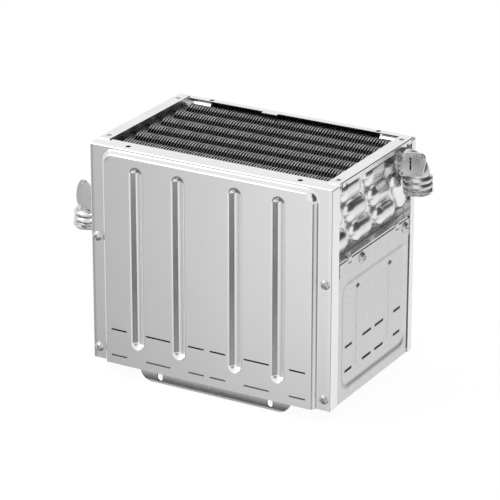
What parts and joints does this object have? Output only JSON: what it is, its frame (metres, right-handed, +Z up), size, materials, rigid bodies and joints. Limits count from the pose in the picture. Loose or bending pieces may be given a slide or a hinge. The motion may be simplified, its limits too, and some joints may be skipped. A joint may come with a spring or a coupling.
{
  "type": "combustion chamber",
  "caption": "Pressed-steel gas heater combustion chamber, open below, with beaded panels, a finned-tube heat exchanger in its open top, domed tube headers and two clipped water elbows.",
  "frame": {"origin": "on the standing surface, under the middle of the casing", "axes": "+Z up, +X along the casing's width towards the water outlet, front panel at -Y"},
  "size_m": [0.3198, 0.178, 0.235],
  "materials": {
    "casing_steel": "satin stainless sheet",
    "zinc_steel": "galvanised sheet, fine spangle",
    "header_steel": "bright stainless sheet",
    "dome_steel": "polished pressed sheet",
    "fin_sheet": "dark thin sheet",
    "tube_steel": "drawn tube",
    "elbow_metal": "satin pressed metal",
    "socket_metal": "satin turned metal",
    "clip_wire": "bright spring wire",
    "screw_zinc": "bright zinc"
  },
  "bodies": {
    "root": {"back_bracket": "zinc_steel", "back_liner": "zinc_steel", "back_panel": "casing_steel", "back_screws": "screw_zinc", "fin_pack": "fin_sheet", "front_bracket": "zinc_steel", "front_liner": "zinc_steel", "front_panel": "casing_steel", "front_screws": "screw_zinc", "inlet_clip": "clip_wire", "inlet_elbow": "elbow_metal", "inlet_socket": "socket_metal", "left_dome_cover": "dome_steel", "left_header": "header_steel", "left_screws": "screw_zinc", "left_side_panel": "zinc_steel", "outlet_clip": "clip_wire", "outlet_elbow": "elbow_metal", "outlet_socket": "socket_metal", "right_dome_cover": "dome_steel", "right_header": "header_steel", "right_screws": "screw_zinc", "right_side_panel": "zinc_steel", "tube_a1": "tube_steel", "tube_a2": "tube_steel", "tube_a3": "tube_steel", "tube_a4": "tube_steel", "tube_a5": "tube_steel", "tube_a6": "tube_steel", "tube_a7": "tube_steel", "tube_b1": "tube_steel", "tube_b2": "tube_steel", "tube_b3": "tube_steel", "tube_b4": "tube_steel", "tube_b5": "tube_steel", "tube_b6": "tube_steel", "tube_c1": "tube_steel", "tube_c2": "tube_steel", "tube_c3": "tube_steel", "tube_c4": "tube_steel", "tube_c5": "tube_steel", "tube_c6": "tube_steel", "tube_c7": "tube_steel"}
  },
  "joints": []
}
